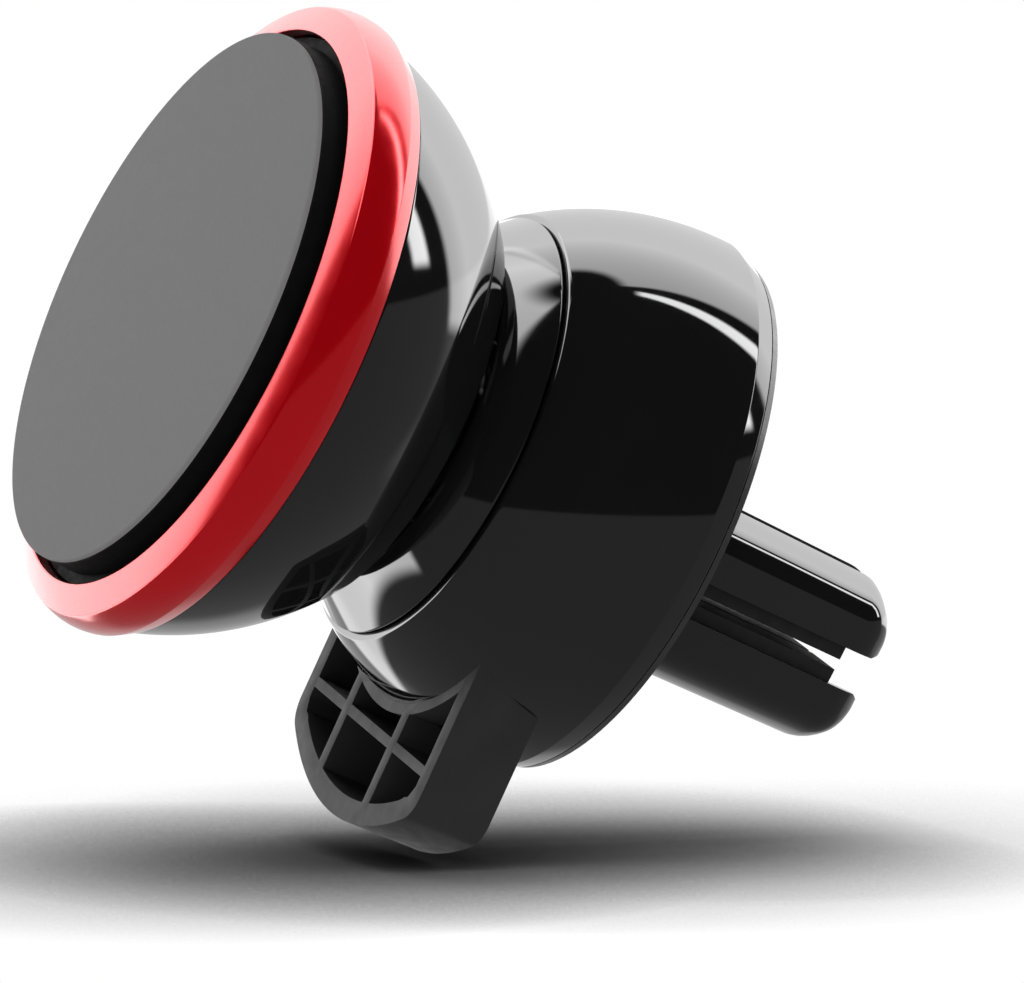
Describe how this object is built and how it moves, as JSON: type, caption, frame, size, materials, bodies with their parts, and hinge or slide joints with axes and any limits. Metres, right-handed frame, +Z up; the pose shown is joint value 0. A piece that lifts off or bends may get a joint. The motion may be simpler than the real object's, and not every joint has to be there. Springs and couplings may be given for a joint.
{
  "type": "car phone mount",
  "caption": "Magnetic air-vent phone mount: round magnet head on a ball joint, crowned barrel with a ribbed brace foot, and a cross-slotted louvre clip.",
  "frame": {"origin": "on the clip's centre line at the back face of the barrel, where the louvre's front edge stops", "axes": "+Y out of the clip into the vent, -Y the way the phone pad faces, +Z up, +X to the right seen from the phone's side"},
  "size_m": [0.0418, 0.0527, 0.0457],
  "materials": {
    "face_skin": "matte",
    "pad_rubber": "matte",
    "tape": "matte",
    "tray_plastic": "matte",
    "magnet_nickel": "polished",
    "plate_steel": "brushed",
    "screw_steel": "satin",
    "red_anodised": "anodised satin",
    "gloss_black": "piano gloss",
    "ball_steel": "polished",
    "nylon": "satin",
    "spring_steel": "satin",
    "satin_black": "satin",
    "lining_rubber": "matte"
  },
  "bodies": {
    "barrel": {"socket_collar": "gloss_black", "rear_seat": "nylon", "seat_spring": "spring_steel", "chassis_plate": "plate_steel", "chassis_screws": "screw_steel", "body_shell": "gloss_black", "rear_cover": "satin_black", "cover_screws": "screw_steel", "clip_post": "gloss_black", "louvre_pads": "lining_rubber"},
    "liner": {"ball_liner": "nylon"},
    "stud": {"ball_stud": "ball_steel", "swivel_washer": "plate_steel", "swivel_screw": "screw_steel"},
    "head": {"face_film": "face_skin", "grip_pad": "pad_rubber", "pad_tape": "tape", "magnet_tray": "tray_plastic", "magnets": "magnet_nickel", "yoke_plate": "plate_steel", "tray_screws": "screw_steel", "accent_ring": "red_anodised", "head_shell": "gloss_black"}
  },
  "joints": [
    {"name": "head_pan", "type": "hinge", "parent": "barrel", "child": "liner", "pos_m": [0, -0.01, 0.00265], "axis": [0, 0, 1], "range_deg": [-12, 12]},
    {"name": "head_tilt", "type": "hinge", "parent": "liner", "child": "stud", "pos_m": [0, -0.01, 0.00265], "axis": [1, 0, 0], "range_deg": [-12, 12]},
    {"name": "head_spin", "type": "hinge", "parent": "stud", "child": "head", "pos_m": [0, -0.01, 0.00265], "axis": [0, 1, 0], "continuous": true}
  ]
}
